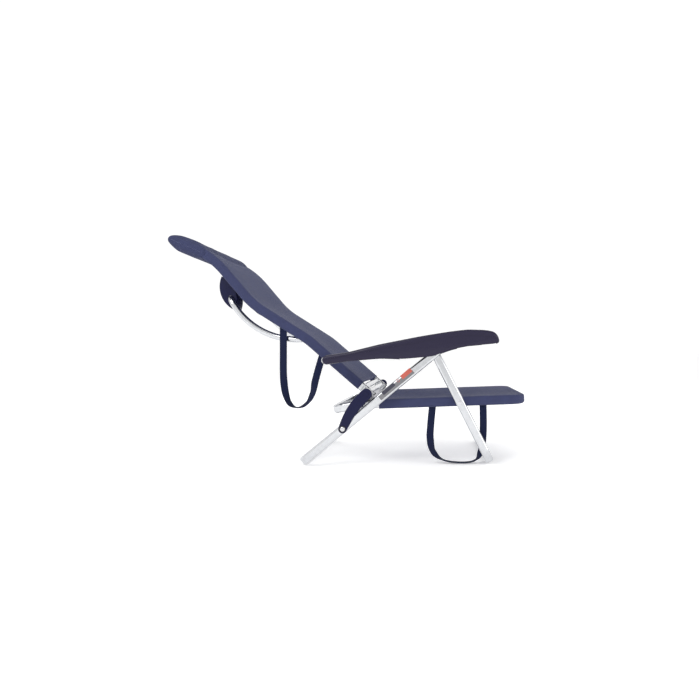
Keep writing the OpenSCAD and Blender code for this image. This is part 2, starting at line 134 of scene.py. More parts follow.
def woven(name, colour, pitch, depth, by_uv=False):
    """Cloth or webbing: two sets of threads crossing, over the plain surface's noise."""
    material = surface(name, colour, 0.85, grain=30.0, spread=0.07, bump=0.0, Sheen_Weight=0.05,
                       Sheen_Roughness=0.5, Specular_IOR_Level=0.2)
    tree = material.node_tree
    link = tree.links.new
    place = next(n for n in tree.nodes if n.type == "TEX_COORD")
    axes = add_node(tree, "ShaderNodeSeparateXYZ")
    link(place.outputs["UV" if by_uv else "Object"], axes.inputs["Vector"])
    along = axes.outputs["Y"] if by_uv else add_along(tree, axes)
    threads = []
    for source in (axes.outputs["X" if by_uv else "Y"], along):
        turns = add_node(tree, "ShaderNodeMath", operation="MULTIPLY")
        turns.inputs[1].default_value = 2 * math.pi / pitch
        link(source, turns.inputs[0])
        wave = add_node(tree, "ShaderNodeMath", operation="SINE")
        link(turns.outputs["Value"], wave.inputs[0])
        threads.append(wave)
    crossing = add_node(tree, "ShaderNodeMath", operation="MULTIPLY")
    link(threads[0].outputs["Value"], crossing.inputs[0])
    link(threads[1].outputs["Value"], crossing.inputs[1])
    relief = next(n for n in tree.nodes if n.type == "BUMP")
    relief.inputs["Strength"].default_value = depth
    link(crossing.outputs["Value"], relief.inputs["Height"])
    return material


def add_along(tree, axes):
    """The length of a panel runs in X and Z, so X less Z counts its cross threads."""
    length = add_node(tree, "ShaderNodeMath", operation="SUBTRACT")
    tree.links.new(axes.outputs["X"], length.inputs[0])
    tree.links.new(axes.outputs["Z"], length.inputs[1])
    return length.outputs["Value"]


CLOTH = woven("cloth", CLOTH_BLUE, 0.0016, 0.35)
PAD_CLOTH = woven("pad_cloth", shade(CLOTH_BLUE, 0.92)[:3], 0.0016, 0.35)
WEBBING = woven("webbing", WEB_BLUE, 0.0024, 0.5, by_uv=True)
THREAD = surface("thread", THREAD_BLUE, 0.7, grain=400.0)
ALUMINIUM = surface("aluminium", SILVER, 0.15, grain=90.0, spread=0.05, bump=0.03, Metallic=1.0)
POLISHED = surface("polished_rivet", STEEL, 0.2, grain=300.0, spread=0.05, bump=0.02, Metallic=1.0)
PLATED = surface("plated_bracket", shade(STEEL, 0.9)[:3], 0.3, grain=200.0, bump=0.03, Metallic=1.0)
ARM_PLASTIC = surface("arm_plastic", ARM_BLUE, 0.34, grain=900.0, spread=0.05, bump=0.12,
                      Coat_Weight=0.1, Coat_Roughness=0.3, Specular_IOR_Level=0.25)
NAVY_PLASTIC = surface("navy_plastic", NAVY, 0.38, grain=900.0, spread=0.05, bump=0.12,
                       Specular_IOR_Level=0.2)
BLACK_PLASTIC = surface("black_plastic", BLACK, 0.42, grain=700.0, bump=0.1)
LABEL_GREY = surface("label_grey", (0.17, 0.17, 0.18), 0.4, grain=500.0, bump=0.02)
LABEL_RED = surface("label_red", (0.50, 0.10, 0.07), 0.4, grain=500.0, bump=0.02)
LABEL_DARK = surface("label_dark", (0.03, 0.03, 0.05), 0.4, grain=500.0, bump=0.02)


# ---- Shapes ----
def evenly(start, end, count, endpoint=True):
    return np.linspace(start, end, count, endpoint=endpoint).tolist()


def radians_from(span):
    return [math.radians(a) for a in evenly(*span)]


def make(name, verts, faces, look, body, uv=None):
    """A smooth piece that rides on a body; uv holds a place in metres for each vertex."""
    mesh = bpy.data.meshes.new(name)
    mesh.from_pydata([tuple(v) for v in verts], [], faces)
    if uv is not None:
        layer = mesh.uv_layers.new(name="UVMap")
        for loop in mesh.loops:
            layer.data[loop.index].uv = uv[loop.vertex_index]
    mesh.materials.append(look)
    obj = bpy.data.objects.new(name, mesh)
    bpy.context.scene.collection.objects.link(obj)
    tidy(obj)
    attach(obj, body)
    return obj


def tidy(obj, sharp=35):
    """Merges doubled points, turns faces outwards and shades all but real edges smooth."""
    form = bmesh.new()
    form.from_mesh(obj.data)
    bmesh.ops.remove_doubles(form, verts=form.verts, dist=1e-5)
    bmesh.ops.recalc_face_normals(form, faces=form.faces)
    form.to_mesh(obj.data)
    form.free()
    for face in obj.data.polygons:
        face.use_smooth = True
    obj.data.set_sharp_from_angle(angle=math.radians(sharp))


def bake(obj):
    """Applies every modifier on a piece."""
    graph = bpy.context.evaluated_depsgraph_get()
    mesh = bpy.data.meshes.new_from_object(obj.evaluated_get(graph), depsgraph=graph)
    obj.modifiers.clear()
    obj.data = mesh


def strip_faces(rows, cols, closed=False, start=0):
    """Quads of a grid of points held row by row; a closed one joins its last column to its first."""
    span = cols if closed else cols - 1
    return [(start + r * cols + c, start + r * cols + (c + 1) % cols,
             start + (r + 1) * cols + (c + 1) % cols, start + (r + 1) * cols + c)
            for r in range(rows - 1) for c in range(span)]


def walk(start, heading, bends, pitch=0.008):
    """Side-view stations (x, z, heading in radians, distance) along straights and their bends."""
    x, z, angle, gone = *start, math.radians(heading), 0.0
    stations = [(x, z, angle, gone)]
    for length, units, radius in bends:
        turn = math.radians(units * BEND_UNIT)
        for run, bend in ((length, 0.0), (radius * abs(turn), turn)):
            count = max(1, math.ceil(run / pitch))
            for _ in range(count):
                angle += bend / count / 2
                x += run / count * math.cos(angle)
                z += run / count * math.sin(angle)
                angle += bend / count / 2
                gone += run / count
                stations.append((x, z, angle, gone))
    return stations


def to_world(station, out, y):
    """A point out from the path at a station, square to it in the side view."""
    x, z, angle = station[:3]
    return Vector((x - out * math.sin(angle), y, z + out * math.cos(angle)))


SEAM_TUCK = 0.0016  # how far the stitched hem lies below the crown
SLEEVE_PULL = 0.75  # height of the cloth half way to the seam, as a share of the tube's straight side


def sleeve_outline(side, steps=8):
    """Half a sleeve as (inwards, out) places, from its row of stitches under the rail to the crown."""
    wide = TUBE_W / 2 + CLOTH_OUT
    tall = CROWN - wide
    seam = [(wide + SEAM_IN, side * (tall + wide - SEAM_TUCK)),
            (wide + SEAM_IN / 2, side * tall * SLEEVE_PULL)]
    under = [(wide * math.cos(a), -side * (tall + wide * math.sin(a)))
             for a in evenly(0, math.pi / 2, steps)]
    outer = [(-wide * math.sin(a), -side * (tall + wide * math.cos(a)))
             for a in evenly(0, math.pi / 2, steps)][1:]
    crown = [(-wide * math.cos(a), side * (tall + wide * math.sin(a)))
             for a in evenly(0, math.pi / 2, steps)]
    return seam + under + outer + crown


def thicken(obj, thickness):
    solid = obj.modifiers.new("thick", "SOLIDIFY")
    solid.thickness = thickness
    solid.offset = 0.0
    bake(obj)
    tidy(obj, sharp=50)


def wrinkle(p, reach):
    return reach * noise.noise(Vector(p) / RIPPLE_SIZE)


def freedom(y, half):
    """How freely cloth ripples, from 1 in a panel's middle to 0 at the rails."""
    return 1 - (y / half) ** RIPPLE_HOLD


PANEL_COLS = 44


def hang(share):
    """How far a panel hangs, from 1 in its middle to 0 at the rails, where share is -1 or 1."""
    return math.cos(share * math.pi / 2) ** 2


def panel_row(side, half, sag):
    """Places (y, out) across a panel between the rails' crowns, hanging a little in the middle."""
    across = evenly(-1, 1, PANEL_COLS + 1)[1:-1]
    return [(a * half, side * (CROWN - sag * hang(a))) for a in across]


def cloth_rows(stations, half, side, sag_at):
    """Rows of a sling: sleeve, panel, sleeve."""
    outline = sleeve_outline(side)
    rows = []
    for s in stations:
        row = [to_world(s, out, -half + inward) for inward, out in outline]
        for y, out in panel_row(side, half, sag_at(s[3])):
            p = to_world(s, out, y)
            ripple = wrinkle((p.x, p.y * RIPPLE_STRETCH, p.z), BACK_RIPPLE) * freedom(y, half)
            row.append(p + side * ripple * (to_world(s, 1, 0) - to_world(s, 0, 0)))
        row += [to_world(s, out, half - inward) for inward, out in reversed(outline)]
        rows.append(row)
    return rows


def seam_rows(stations, half, side, sag_at):
    """Points along both rows of stitches on a sling's face."""
    lines = []
    for hand in (-1, 1):
        y = hand * (half - TUBE_W / 2 - SEAM_IN)
        lines.append([to_world(s, side * (STITCH_OUT - sag_at(s[3]) * hang(y / half)), y)
                      for s in stations])
    return lines


def stitches(name, lines, body, long=0.0034, gap=0.0018, wide=0.0009, high=0.0007):
    """Rows of stitches: each a small flat lozenge lying along its line."""
    verts, faces = [], []
    for line in lines:
        reach, spots = 0.0, []
        for a, b in zip(line, line[1:]):
            step = (b - a).length
            while reach <= step:
                spots.append((a.lerp(b, reach / step), (b - a).normalized()))
                reach += long + gap
            reach -= step
        for spot, way in spots:
            flat = Vector((0, 1, 0)) if abs(way.y) < 0.7 else Vector((1, 0, 0))
            up = way.cross(flat).normalized()
            flat = up.cross(way).normalized()
            first = len(verts)
            verts += [spot - way * long / 2, spot + way * long / 2, spot - flat * wide / 2,
                      spot + flat * wide / 2, spot - up * high / 2, spot + up * high / 2]
            faces += [tuple(first + i for i in f) for f in (
                (0, 2, 5), (2, 1, 5), (1, 3, 5), (3, 0, 5), (2, 0, 4), (1, 2, 4), (3, 1, 4), (0, 3, 4))]
    return make(name, verts, faces, THREAD, body)


# ---- Seat fabric ----
def seat_station(run, corner=0.0):
    """A place along the seat's rail; corner is the angle turned round the front corner, in radians."""
    slope = math.radians(SEAT_SLOPE)
    reach = run + CORNER_R * math.sin(corner)
    return SEAT_BEND[0] + reach * math.cos(slope), SEAT_BEND[1] + reach * math.sin(slope), slope


SEAT_RIPPLE = 0.0010
SEAT_ROWS = 64
REAR_HEM = 0.008
SEAM_END = 0.002  # a side seam stops this far from each end of its sleeve
HEM_SIDE = 0.02


def seat_half(corner):
    """Half the seat's width, which narrows round the front corner."""
    return SEAT_Y - CORNER_R + CORNER_R * math.cos(corner)


def seat_fabric():
    outline = sleeve_outline(1)
    stops = [(run, 0.0) for run in evenly(SEAT_FROM, SEAT_STRAIGHT, SEAT_ROWS)]
    stops += [(SEAT_STRAIGHT, a) for a in evenly(0, math.pi / 2, 10)[1:]]
    forward = to_world(seat_station(1), 0, 0) - to_world(seat_station(0), 0, 0)
    rows = []
    for run, corner in stops:
        here, half, tension = seat_station(run, corner), seat_half(corner), seat_tension(run, corner)
        ahead, across = forward * math.sin(corner), math.cos(corner)
        right = [to_world(here, out, -half + inward * across) - ahead * inward for inward, out in outline]
        left = [Vector((p.x, -p.y, p.z)) for p in reversed(right)]
        panel = []
        for y, out in panel_row(1, half, SEAT_SAG * tension):
            ripple = wrinkle((here[0], y * RIPPLE_STRETCH, 0), SEAT_RIPPLE) * freedom(y, half) * tension
            panel.append(to_world(here, out + ripple, y))
        rows.append(right + panel + left)
    verts = [p for row in rows for p in row]
    faces = strip_faces(len(rows), len(rows[0]))
    last = rows[-1]
    crown_row = last[len(outline) - 1:len(last) - len(outline) + 1]
    front = seat_station(SEAT_STRAIGHT, math.pi / 2)
    first = len(verts)
    for inward, out in reversed(outline):
        for p in crown_row:
            verts.append(to_world(front, out, p.y) - forward * inward)
    faces += strip_faces(len(outline), len(crown_row), start=first)
    cloth = make("seat_fabric", verts, faces, CLOTH, "seat")
    thicken(cloth, CLOTH_T)
    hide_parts("seat_sling")


def seat_tension(run, corner):
    """1 in the open panel, fading to nothing at the taut front edge."""
    reach = (run + CORNER_R * math.sin(corner) - SEAT_FROM) / (SEAT_LEN - SEAT_FROM)
    return 1 - max(0.0, min(1.0, reach)) ** 7


def seat_seams():
    """Stitches along both rails, across the rear hem and across the front bar."""
    lines = []
    for hand in (-1, 1):
        y = hand * (SEAT_Y - TUBE_W / 2 - SEAM_IN)
        lines.append([panel_point(run, y)
                      for run in evenly(SEAT_FROM + SEAM_END, SEAT_STRAIGHT - SEAM_END, 60)])
    lines.append([panel_point(SEAT_FROM + REAR_HEM, y)
                  for y in evenly(-SEAT_Y + HEM_SIDE, SEAT_Y - HEM_SIDE, 40)])
    front = SEAT_LEN - TUBE_W / 2 - SEAM_IN
    lines.append([panel_point(front, y) for y in evenly(CORNER_R - SEAT_Y, SEAT_Y - CORNER_R, 40)])
    stitches("seat_stitches", lines, "seat")


def panel_point(run, y):
    """A stitch's place on the seat's panel."""
    over = max(0.0, run - SEAT_STRAIGHT)
    corner = math.asin(min(1.0, over / CORNER_R))
    taut = seat_tension(min(run, SEAT_STRAIGHT), corner)
    sag = SEAT_SAG * taut * hang(min(1.0, abs(y) / seat_half(corner)))
    return to_world(seat_station(run), STITCH_OUT - sag, y)


# ---- Back fabric and head roll ----
def back_stations():
    start = (HINGE[0] + BACK_FROM * math.cos(math.radians(BACK_DIR)),
             HINGE[1] + BACK_FROM * math.sin(math.radians(BACK_DIR)))
    return walk(start, BACK_DIR, BACK_BENDS)


def back_sag(gone):
    """How far the back's panel hangs at a distance along it."""
    return BACK_SAG * (0.55 + 0.45 * math.sin(min(1.0, gone / 0.5) * math.pi))


def back_fabric():
    stations = back_stations()
    rows = cloth_rows(stations, BACK_Y, -1, back_sag)
    verts = [p for row in rows for p in row]
    cloth = make("back_fabric", verts, strip_faces(len(rows), len(rows[0])), CLOTH, "back")
    thicken(cloth, CLOTH_T)
    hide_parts("back_sling")
    lines = seam_rows(stations[1:-2], BACK_Y, -1, back_sag)
    for here in (stations[1], stations[-4]):
        lines.append([to_world(here, -(STITCH_OUT - back_sag(here[3]) * hang(a)), a * BACK_Y)
                      for a in evenly(-0.9, 0.9, 40)])
    stitches("back_stitches", lines, "back")


ROLL_LAP = 0.012  # the cushion's start over the back's cloth, and its end past the top bar
ROLL_TIP = 0.018
ROLL_THICK = 0.048
ROLL_HALF = 0.2195
ROLL_END = 0.014  # depth of its rounded ends, and how thick it is where they stop
ROLL_END_SHARE = 0.55
ROLL_FULLNESS = 0.65  # below 1 its section is fuller than an ellipse: across, then along
ROLL_BLUNTNESS = 0.85
ROLL_AROUND = 48
ROLL_SEAM_OUT = 0.0004
PLEAT_DEEP = 0.0012
PLEAT_WIDE = 0.0042
PLEAT_WAVER = 30  # how often, for each metre, the folds' spacing changes
DENT_DEEP = 0.0017
DENT_GRAIN = (22, 16, 22)  # dents for each metre in x, y and z, roughly
RIM_SOFT = 0.006  # folds fade out this near the cushion's edge


def head_roll():
    """The cushion over the top of the frame, swollen by a cloth simulation."""
    x, z, angle, _ = walk(HINGE, BACK_DIR, HEAD_BENDS)[-1]
    bar = Vector((x + CORNER_R * math.cos(angle), 0, z + CORNER_R * math.sin(angle)))
    neck_x, neck_z = back_stations()[-1][:2]
    neck = Vector((neck_x, 0, neck_z))
    along = (bar - neck).normalized()
    out = Vector((-along.z, 0, along.x))
    low, high = neck - along * ROLL_LAP, bar + along * ROLL_TIP
    centre, half_long = (low + high) / 2, (high - low).length / 2
    end = [(-ROLL_HALF + ROLL_END * (1 - math.cos(a)),
            ROLL_END_SHARE + (1 - ROLL_END_SHARE) * math.sin(a)) for a in evenly(0.05, math.pi / 2, 7)]
    between = [(y, 1.0) for y in evenly(-ROLL_HALF + ROLL_END, ROLL_HALF - ROLL_END, 50)[1:-1]]
    levels = end + between + [(-y, share) for y, share in reversed(end)]
    verts = []
    for y, share in levels:
        for a in evenly(0, 2 * math.pi, ROLL_AROUND, endpoint=False):
            c, s = math.cos(a), math.sin(a)
            belly = ROLL_THICK / 2 * math.copysign(abs(s) ** ROLL_FULLNESS, s)
            reach = half_long * (0.9 + 0.1 * share) * math.copysign(abs(c) ** ROLL_BLUNTNESS, c)
            verts.append(centre + along * reach + out * (belly * share) + Vector((0, y, 0)))
    faces = strip_faces(len(levels), ROLL_AROUND, closed=True)
    faces += [tuple(range(ROLL_AROUND))[::-1],
              tuple(len(verts) - ROLL_AROUND + i for i in range(ROLL_AROUND))]
    roll = make("head_roll", verts, faces, PAD_CLOTH, "back")
    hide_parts("head_pad")
    swell(roll, voxel=0.005, cap=0.005)
    gather(roll, centre, along, out, half_long)
    seam = [[centre + Vector((0, hand * (ROLL_HALF + ROLL_SEAM_OUT), 0)) + along * (t * half_long * 0.8)
             for t in evenly(-1, 1, 30)] for hand in (-1, 1)]
    stitches("roll_stitches", seam, "back")


def swell(obj, voxel, cap, pressure=4.0, frames=20):
    """Remeshes a pad and lets cloth pressure fill it, no point moving further than cap."""
    remesh = obj.modifiers.new("remesh", "REMESH")
    remesh.mode = "VOXEL"
    remesh.voxel_size = voxel
    bake(obj)
    before = [v.co.copy() for v in obj.data.vertices]
    cloth = obj.modifiers.new("cloth", "CLOTH")
    cloth.settings.use_pressure = True
    cloth.settings.uniform_pressure_force = pressure
    cloth.settings.effector_weights.gravity = 0
    for frame_number in range(1, frames + 1):
        bpy.context.scene.frame_set(frame_number)
    bake(obj)
    bpy.context.scene.frame_set(1)
    for vertex, old in zip(obj.data.vertices, before):
        move = vertex.co - old
        if move.length > cap:
            vertex.co = old + move.normalized() * cap
    soften = obj.modifiers.new("soften", "SUBSURF")
    soften.levels = 1
    bake(obj)
    tidy(obj, sharp=70)


def gather(obj, centre, along, out, half_long):
    """Small folds where the cushion is sewn to the back, and soft dents over its top."""
    for vertex in obj.data.vertices:
        p = vertex.co - centre
        share, side = p.dot(along) / half_long, p.dot(out)
        near_seam = max(0.0, min(1.0, -share - 0.1))
        waver = 2 * noise.noise(Vector((p.y * PLEAT_WAVER, 0, 0)))
        pleat = PLEAT_DEEP * near_seam * math.sin(p.y / PLEAT_WIDE + waver)
        dent = DENT_DEEP * noise.noise(p * Vector(DENT_GRAIN))
        vertex.co += out * math.copysign(1, side) * min(1.0, abs(side) / RIM_SOFT) * (pleat + dent)
    obj.data.update()
    tidy(obj, sharp=70)


# ---- Carry straps ----
WEB_W = 0.025
WEB_T = 0.0016
SEAT_WEB_Y = 0.217
# Routes hold (x, z, twist in degrees)
SEAT_ROUTE = [(0.299, 0.203, 0), (0.293, 0.140, 0), (0.291, 0.090, 0), (0.302, 0.042, 45),
              (0.340, 0.012, 90), (0.405, 0.004, 90), (0.448, 0.012, 90), (0.466, 0.040, 45),
              (0.474, 0.090, 0), (0.476, 0.140, 0), (0.475, 0.209, 0)]
BACK_ROUTE = [(-0.224, 0.478, 0), (-0.224, 0.390, 0), (-0.224, 0.320, 0), (-0.221, 0.262, 30),
              (-0.208, 0.214, 60), (-0.182, 0.195, 90), (-0.148, 0.207, 60), (-0.124, 0.242, 30),
              (-0.112, 0.290, 0), (-0.100, 0.335, 0), (-0.086, 0.382, 0)]


def smooth_curve(a, b, c, d, t):
    """A Catmull-Rom curve from b to c."""
    return 0.5 * (2 * b + (c - a) * t + (2 * a - 5 * b + 4 * c - d) * t * t
                  + (3 * b - a - 3 * c + d) * t ** 3)


def strap(name, route, outer_y, body, replaced):
    """Webbing on a route of (x, z, twist in degrees): 0 faces sideways, 90 lies flat across the chair."""
    steps = 14
    stops = [np.array(p, float) for p in route]
    track = []
    for i in range(len(stops) - 1):
        before, after = stops[max(i - 1, 0)], stops[min(i + 2, len(stops) - 1)]
        for t in evenly(0, 1, steps, endpoint=False):
            p = smooth_curve(before, stops[i], stops[i + 1], after, t)
            ease = t * t * (3 - 2 * t)
            track.append((p[0], p[1], stops[i][2] + (stops[i + 1][2] - stops[i][2]) * ease))
    track.append(tuple(stops[-1]))
    outline = [(-1, -0.5), (-0.94, -1), (-0.5, -1.1), (0, -1), (0.5, -1.1), (0.94, -1), (1, -0.5),
               (1, 0.5), (0.94, 1), (0.5, 1.1), (0, 1), (-0.5, 1.1), (-0.94, 1), (-1, 0.5)]
    verts, uv, gone, middle = [], [], 0.0, []
    for i, (x, z, twist) in enumerate(track):
        ahead, behind = track[min(i + 1, len(track) - 1)], track[max(i - 1, 0)]
        slope = math.atan2(ahead[1] - behind[1], ahead[0] - behind[0])
        turn = math.radians(twist)
        normal = Vector((-math.sin(slope), 0, math.cos(slope)))
        across = normal * math.cos(turn) + Vector((0, math.sin(turn), 0))
        thick = Vector((0, math.cos(turn), 0)) - normal * math.sin(turn)
        centre = Vector((x, -outer_y + WEB_W / 2 * math.sin(turn), z))
        gone += (centre - middle[-1]).length if middle else 0.0
        middle.append(centre)
        for a, t in outline:
            verts.append(centre + across * a * WEB_W / 2 + thick * t * WEB_T / 2)
            uv.append((a * WEB_W / 2, gone))
    count = len(outline)
    faces = strip_faces(len(track), count, closed=True)
    faces += [tuple(range(count))[::-1], tuple(len(verts) - count + i for i in range(count))]
    web = make(name, verts, faces, WEBBING, body, uv=uv)
    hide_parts(replaced)


# ---- Moulded parts ----
def round_corners(outline, radius=0.009, passes=3):
    """Cuts each corner of a closed outline back, then smooths what is left."""
    points = []
    for i, p in enumerate(outline):
        before, after = outline[i - 1], outline[(i + 1) % len(outline)]
        for other in (before, after):
            step = other - p
            points.append(p + step * min(0.4, radius / max(step.length, 1e-9)))
    for _ in range(passes):
        ahead = points[1:] + points[:1]
        points = [q for p, n in zip(points, ahead) for q in (p * 0.75 + n * 0.25, p * 0.25 + n * 0.75)]
    return points


def inward_from(outline):
    """A unit step inwards at each point of an anticlockwise outline."""
    steps = [outline[(i + 1) % len(outline)] - outline[i - 1] for i in range(len(outline))]
    return [Vector((-step.y, step.x)).normalized() for step in steps]


def plate(name, outline, y_from, y_to, edge, look, body, crown=0.0, inward=None):
    """A solid across the chair with the given side outline, its edges rounded and its rim crowned."""
    area = sum(p.x * q.y - q.x * p.y for p, q in zip(outline, outline[1:] + outline[:1])) / 2
    points = outline if area > 0 else outline[::-1]
    inward = inward_from(points) if inward is None else [inward(p) for p in points]
    middle, half = (y_from + y_to) / 2, (y_to - y_from) / 2
    near = [(half - edge * (1 - math.cos(a)), edge * (1 - math.sin(a)))
            for a in evenly(0, math.pi / 2, 6)]
    flat = [(y, 0.0) for y in evenly(half - edge, edge - half, 8)[1:-1]]
    rings = near + flat + [(-y, inset) for y, inset in reversed(near)]
    verts = []
    for y, inset in rings:
        draw = inset + crown * (y / half) ** 2
        verts += [(p.x + n.x * draw, middle + y, p.y + n.y * draw) for p, n in zip(points, inward)]
    count = len(points)
    faces = strip_faces(len(rings), count, closed=True)
    faces += [tuple(range(count)), tuple(len(verts) - 1 - i for i in range(count))]
    return make(name, verts, faces, look, body)


def cut(obj, cutter):
    """Takes the cutter's shape out of a piece and removes the cutter."""
    hole = obj.modifiers.new("cut", "BOOLEAN")
    hole.operation = "DIFFERENCE"
    hole.solver = "EXACT"
    hole.object = cutter
    bake(obj)
    bpy.data.objects.remove(cutter)


def prism(outline, y_from, y_to):
    """A plain cutter with a side outline of (x, z) points."""
    count = len(outline)
    verts = [(x, y, z) for y in (y_from, y_to) for x, z in outline]
    faces = strip_faces(2, count, closed=True)
    faces += [tuple(range(count))[::-1], tuple(range(count, 2 * count))]
    mesh = bpy.data.meshes.new("cutter")
    mesh.from_pydata(verts, [], faces)
    obj = bpy.data.objects.new("cutter", mesh)
    bpy.context.scene.collection.objects.link(obj)
    tidy(obj)
    return obj


ARM_REAR = (-0.050, 0.365)
ARM_REAR_R = 0.016
ARM_TOP = [(0.018, 0.391), (0.126, 0.418), (0.258, 0.444), (0.350, 0.459), (0.415, 0.467),
           (0.482, 0.465), (0.513, 0.456)]
ARM_LOW = [(0.525, 0.419), (0.480, 0.415), (0.424, 0.410), (0.364, 0.398), (0.300, 0.375),
           (0.202, 0.366), (0.182, 0.367), (0.126, 0.369), (0.016, 0.360)]
ARM_EDGE = 0.0075
ARM_SKIN = 0.0035
ARM_CROWN = 0.0015
ARM_STEP = 0.0011  # how far the side below the crease is set in
ARM_CUT = 0.02  # how far the cutters reach past a face
ARM_FLOOR = 0.30  # the cutters' low edge, well under the armrest
ARM_CREASE = [(-0.030, 0.372), (0.060, 0.390), (0.180, 0.411), (0.300, 0.432), (0.400, 0.446),
              (0.470, 0.446), (0.512, 0.438)]
BELOW_ARM = [(0.56, 0.430), (0.56, ARM_FLOOR), (-0.08, ARM_FLOOR), (-0.08, 0.362)]
NOSE_HOLLOW = [(0.380, 0.36), (0.380, 0.451), (0.415, 0.458), (0.480, 0.456), (0.506, 0.448),
               (0.513, 0.430), (0.513, 0.36)]


def arm_inward(p):
    """A step in from an armrest's outline, towards its middle line, so that rounded edges never cross."""
    top = np.interp(p.x, *zip((ARM_REAR[0], ARM_REAR[1] + ARM_REAR_R), *ARM_TOP))
    low = np.interp(p.x, *zip((ARM_REAR[0], ARM_REAR[1] - ARM_REAR_R), *ARM_LOW[::-1]))
    middle, half = float(top + low) / 2, max(float(top - low) / 2, ARM_REAR_R)
    end_low, end_high = ARM_REAR[0] - ARM_REAR_R, ARM_LOW[0][0]
    along = (2 * p.x - end_low - end_high) / (end_high - end_low)
    return Vector((-along, (middle - p.y) / half))


def armrest(hand, side):
    """A moulded armrest; hand is -1 on the right and 1 on the left."""
    low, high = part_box("armrest_" + side)
    inner, outer = sorted((low.y, high.y), key=abs)
    arc = [Vector((ARM_REAR[0] + ARM_REAR_R * math.cos(a), ARM_REAR[1] + ARM_REAR_R * math.sin(a)))
           for a in radians_from((268, 92, 13))]
    outline = round_corners(arc + [Vector(p) for p in ARM_TOP + ARM_LOW])
    arm = plate("armrest_" + side + "_shell", outline, min(inner, outer), max(inner, outer), ARM_EDGE,
                ARM_PLASTIC, "armrest_" + side, crown=ARM_CROWN, inward=arm_inward)
    for face_y, way in ((outer, -hand), (inner, hand)):
        cut(arm, prism(ARM_CREASE + BELOW_ARM, face_y + way * ARM_STEP, face_y - way * ARM_CUT))
    rack_low, rack_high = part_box("rack_" + side)
    slot = [(rack_low.x - 0.008, ARM_FLOOR), (rack_high.x + 0.006, ARM_FLOOR),
            (rack_high.x + 0.004, rack_high.z + 0.001), (rack_low.x - 0.004, rack_high.z - 0.004)]
    walls = sorted((inner + hand * (ARM_SKIN + 0.001), outer - hand * ARM_SKIN))
    for hollow in (slot, NOSE_HOLLOW):
        cut(arm, prism(hollow, *walls))
    tidy(arm, sharp=32)
    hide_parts("armrest_" + side)


def oval_arc(centre, radius, start, end, count=14):
    return [Vector((centre[0] + radius * math.cos(a), centre[1] + radius * math.sin(a)))
            for a in radians_from((start, end, count))]


LINK_FOOT = (-0.0039, 0.1314)
LINK_BULGE = 0.009
LINK_EDGE = 0.0022
LINK_FOOT_HALF = 0.0145  # half its width at the foot, what it gains by the head, and its belly
LINK_GAIN = 0.0045
LINK_BELLY = 0.006


def link_plate(side):
    """The curved strut from the rear leg up to the hinge."""
    low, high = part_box("link_" + side)
    foot, head = Vector(LINK_FOOT), Vector(HINGE)
    chord = head - foot
    off = Vector((-chord.y, chord.x)).normalized() * LINK_BULGE * 4

    def middle(t):
        return foot + chord * t + off * t * (1 - t)

    def half(t):
        return LINK_FOOT_HALF + LINK_GAIN * t + LINK_BELLY * t * (1 - t)

    upper, lower = [], []
    for t in evenly(0, 1, 24):
        way = (middle(t + 0.01) - middle(t - 0.01)).normalized()
        square = Vector((-way.y, way.x))
        upper.append(middle(t) + square * half(t))
        lower.append(middle(t) - square * half(t))
    start = math.degrees(math.atan2(*(upper[0] - foot).yx))
    end = math.degrees(math.atan2(*(upper[-1] - head).yx))
    outline = upper + oval_arc(HINGE, half(1), end, end - 180)[1:-1] + lower[::-1]
    outline += oval_arc(LINK_FOOT, half(0), start + 180, start, 14)[1:-1]
    strut = plate("link_" + side + "_plate", outline, low.y, high.y, LINK_EDGE, NAVY_PLASTIC,
                  "links")
    tidy(strut, sharp=40)
    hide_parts("link_" + side)


BROKEN_EDGE = 0.0005
RACK_EDGE = 0.0007
BRACKET_EDGE = 0.0006
FOOT_EDGE = 0.004


def rounded_copy(node, body, look, width, segments=2, sharp=38):
    """A CAD node again, with its sharp edges rounded."""
    mesh = nodes[node].data.copy()
    obj = bpy.data.objects.new(node + "_rounded", mesh)
    bpy.context.scene.collection.objects.link(obj)
    form = bmesh.new()
    form.from_mesh(mesh)
    bmesh.ops.remove_doubles(form, verts=form.verts, dist=2e-5)
    bmesh.ops.dissolve_limit(form, angle_limit=math.radians(0.6), verts=form.verts, edges=form.edges)
    form.to_mesh(mesh)
    form.free()
    mesh.materials.clear()
    mesh.materials.append(look)
    edge = obj.modifiers.new("edge", "BEVEL")
    edge.width = width
    edge.segments = segments
    edge.limit_method = "ANGLE"
    edge.angle_limit = math.radians(sharp)
    edge.use_clamp_overlap = True
    bake(obj)
    tidy(obj, sharp=sharp)
    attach(obj, body)
    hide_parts(node)


DOME_SQUEEZE = 0.999  # a dome is this much narrower along the chair than upwards


def domes(name, places, radius, height, look, body):
    """Domed rivet heads: each place is (x, y, z) on a face that looks away from the chair's middle."""
    rings, around = 7, 28
    verts, faces = [], []
    for x, y, z in places:
        first = len(verts)
        for r in range(rings):
            lift = r / (rings - 1) * math.pi / 2
            for a in evenly(0, 2 * math.pi, around, endpoint=False):
                verts.append((x + radius * math.cos(lift) * math.cos(a) * DOME_SQUEEZE,
                              y + math.copysign(height * math.sin(lift), y),
                              z + radius * math.cos(lift) * math.sin(a)))
        faces += strip_faces(rings, around, closed=True, start=first)
        faces.append(tuple(first + i for i in range(around)))
    return make(name, verts, faces, look, body)


